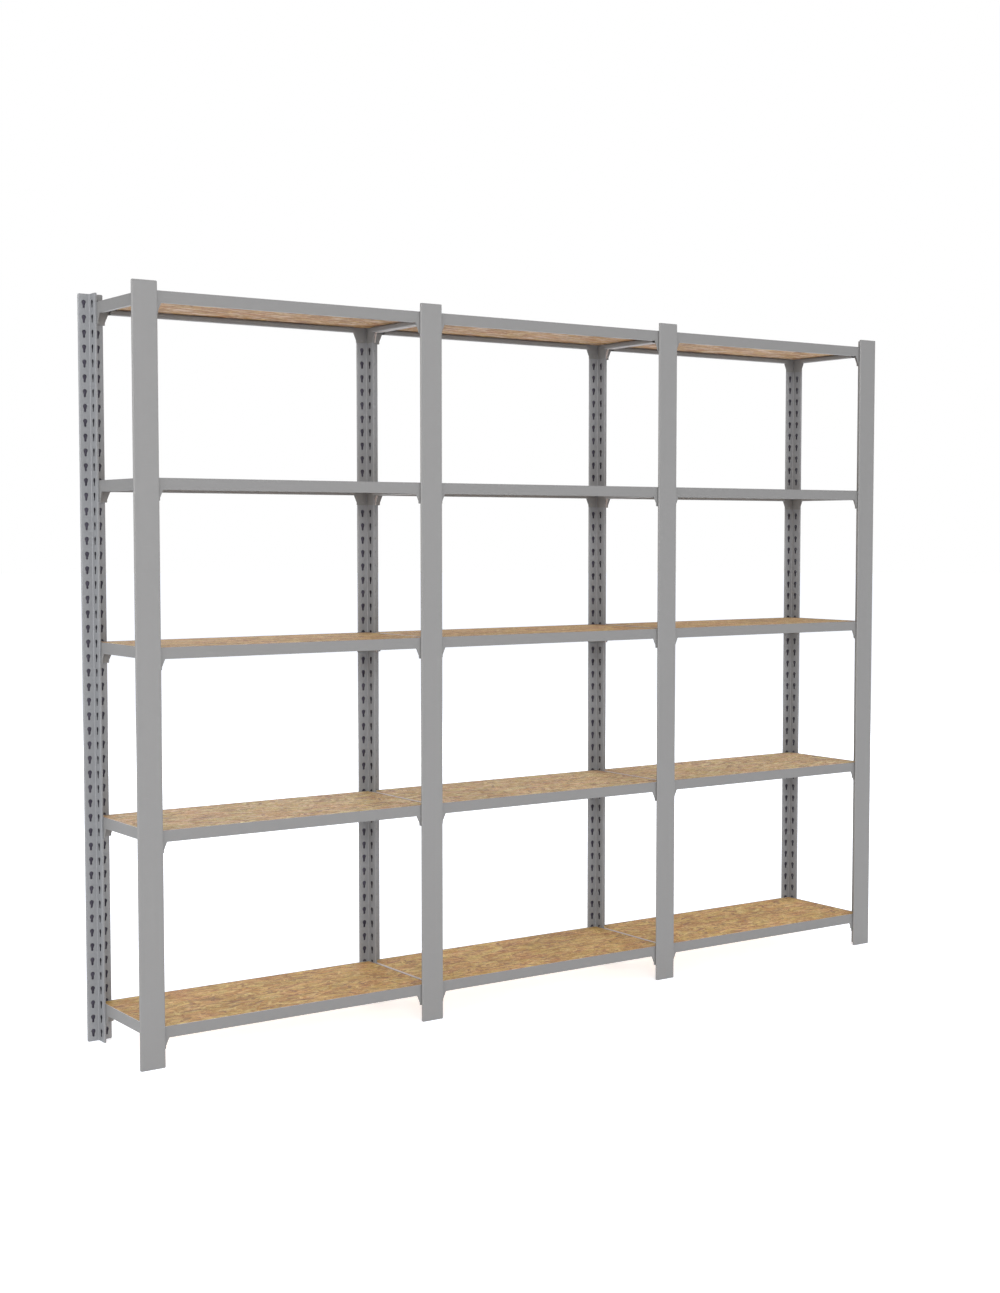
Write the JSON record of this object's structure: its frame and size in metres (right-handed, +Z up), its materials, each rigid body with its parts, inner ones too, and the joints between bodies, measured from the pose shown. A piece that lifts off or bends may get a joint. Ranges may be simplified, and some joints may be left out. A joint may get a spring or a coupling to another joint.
{
  "type": "gondola shelving unit",
  "caption": "Free-standing boltless shelving run: T-section posts with keyhole columns, hooked-in steel beams and drop-in chipboard shelves on equal bays.",
  "frame": {"origin": "on the floor, midway between the end posts and midway between the front and rear faces", "axes": "+X along the run, to the right seen from the front; +Y from front to rear; +Z up"},
  "size_m": [2.62, 0.35, 2],
  "materials": {
    "post_steel": "semi-matt grey powder coat",
    "beam_steel": "semi-matt grey powder coat",
    "rivet_steel": "semi-matt grey powder coat",
    "osb": "raw oriented strand board"
  },
  "bodies": {
    "root": {"post_front_1": "post_steel", "post_front_2": "post_steel", "post_front_3": "post_steel", "post_front_4": "post_steel", "post_rear_1": "post_steel", "post_rear_2": "post_steel", "post_rear_3": "post_steel", "post_rear_4": "post_steel", "beam_front_bay1_level1": "beam_steel", "beam_front_bay1_level2": "beam_steel", "beam_front_bay1_level3": "beam_steel", "beam_front_bay1_level4": "beam_steel", "beam_front_bay1_level5": "beam_steel", "beam_front_bay2_level1": "beam_steel", "beam_front_bay2_level2": "beam_steel", "beam_front_bay2_level3": "beam_steel", "beam_front_bay2_level4": "beam_steel", "beam_front_bay2_level5": "beam_steel", "beam_front_bay3_level1": "beam_steel", "beam_front_bay3_level2": "beam_steel", "beam_front_bay3_level3": "beam_steel", "beam_front_bay3_level4": "beam_steel", "beam_front_bay3_level5": "beam_steel", "beam_rear_bay1_level1": "beam_steel", "beam_rear_bay1_level2": "beam_steel", "beam_rear_bay1_level3": "beam_steel", "beam_rear_bay1_level4": "beam_steel", "beam_rear_bay1_level5": "beam_steel", "beam_rear_bay2_level1": "beam_steel", "beam_rear_bay2_level2": "beam_steel", "beam_rear_bay2_level3": "beam_steel", "beam_rear_bay2_level4": "beam_steel", "beam_rear_bay2_level5": "beam_steel", "beam_rear_bay3_level1": "beam_steel", "beam_rear_bay3_level2": "beam_steel", "beam_rear_bay3_level3": "beam_steel", "beam_rear_bay3_level4": "beam_steel", "beam_rear_bay3_level5": "beam_steel", "side_beams_level1": "beam_steel", "side_beams_level2": "beam_steel", "side_beams_level3": "beam_steel", "side_beams_level4": "beam_steel", "side_beams_level5": "beam_steel", "rivets_long_beams": "rivet_steel", "rivets_side_beams": "rivet_steel"},
    "board_bay1_level1": {"board_bay1_level1": "osb"},
    "board_bay1_level2": {"board_bay1_level2": "osb"},
    "board_bay1_level3": {"board_bay1_level3": "osb"},
    "board_bay1_level4": {"board_bay1_level4": "osb"},
    "board_bay1_level5": {"board_bay1_level5": "osb"},
    "board_bay2_level1": {"board_bay2_level1": "osb"},
    "board_bay2_level2": {"board_bay2_level2": "osb"},
    "board_bay2_level3": {"board_bay2_level3": "osb"},
    "board_bay2_level4": {"board_bay2_level4": "osb"},
    "board_bay2_level5": {"board_bay2_level5": "osb"},
    "board_bay3_level1": {"board_bay3_level1": "osb"},
    "board_bay3_level2": {"board_bay3_level2": "osb"},
    "board_bay3_level3": {"board_bay3_level3": "osb"},
    "board_bay3_level4": {"board_bay3_level4": "osb"},
    "board_bay3_level5": {"board_bay3_level5": "osb"}
  },
  "joints": [
    {"name": "lift_bay1_level1", "type": "slide", "parent": "root", "child": "board_bay1_level1", "axis": [0, 0, 1], "range_m": [0, 0.25]},
    {"name": "lift_bay1_level2", "type": "slide", "parent": "root", "child": "board_bay1_level2", "axis": [0, 0, 1], "range_m": [0, 0.25]},
    {"name": "lift_bay1_level3", "type": "slide", "parent": "root", "child": "board_bay1_level3", "axis": [0, 0, 1], "range_m": [0, 0.25]},
    {"name": "lift_bay1_level4", "type": "slide", "parent": "root", "child": "board_bay1_level4", "axis": [0, 0, 1], "range_m": [0, 0.25]},
    {"name": "lift_bay1_level5", "type": "slide", "parent": "root", "child": "board_bay1_level5", "axis": [0, 0, 1], "range_m": [0, 0.25]},
    {"name": "lift_bay2_level1", "type": "slide", "parent": "root", "child": "board_bay2_level1", "axis": [0, 0, 1], "range_m": [0, 0.25]},
    {"name": "lift_bay2_level2", "type": "slide", "parent": "root", "child": "board_bay2_level2", "axis": [0, 0, 1], "range_m": [0, 0.25]},
    {"name": "lift_bay2_level3", "type": "slide", "parent": "root", "child": "board_bay2_level3", "axis": [0, 0, 1], "range_m": [0, 0.25]},
    {"name": "lift_bay2_level4", "type": "slide", "parent": "root", "child": "board_bay2_level4", "axis": [0, 0, 1], "range_m": [0, 0.25]},
    {"name": "lift_bay2_level5", "type": "slide", "parent": "root", "child": "board_bay2_level5", "axis": [0, 0, 1], "range_m": [0, 0.25]},
    {"name": "lift_bay3_level1", "type": "slide", "parent": "root", "child": "board_bay3_level1", "axis": [0, 0, 1], "range_m": [0, 0.25]},
    {"name": "lift_bay3_level2", "type": "slide", "parent": "root", "child": "board_bay3_level2", "axis": [0, 0, 1], "range_m": [0, 0.25]},
    {"name": "lift_bay3_level3", "type": "slide", "parent": "root", "child": "board_bay3_level3", "axis": [0, 0, 1], "range_m": [0, 0.25]},
    {"name": "lift_bay3_level4", "type": "slide", "parent": "root", "child": "board_bay3_level4", "axis": [0, 0, 1], "range_m": [0, 0.25]},
    {"name": "lift_bay3_level5", "type": "slide", "parent": "root", "child": "board_bay3_level5", "axis": [0, 0, 1], "range_m": [0, 0.25]}
  ]
}
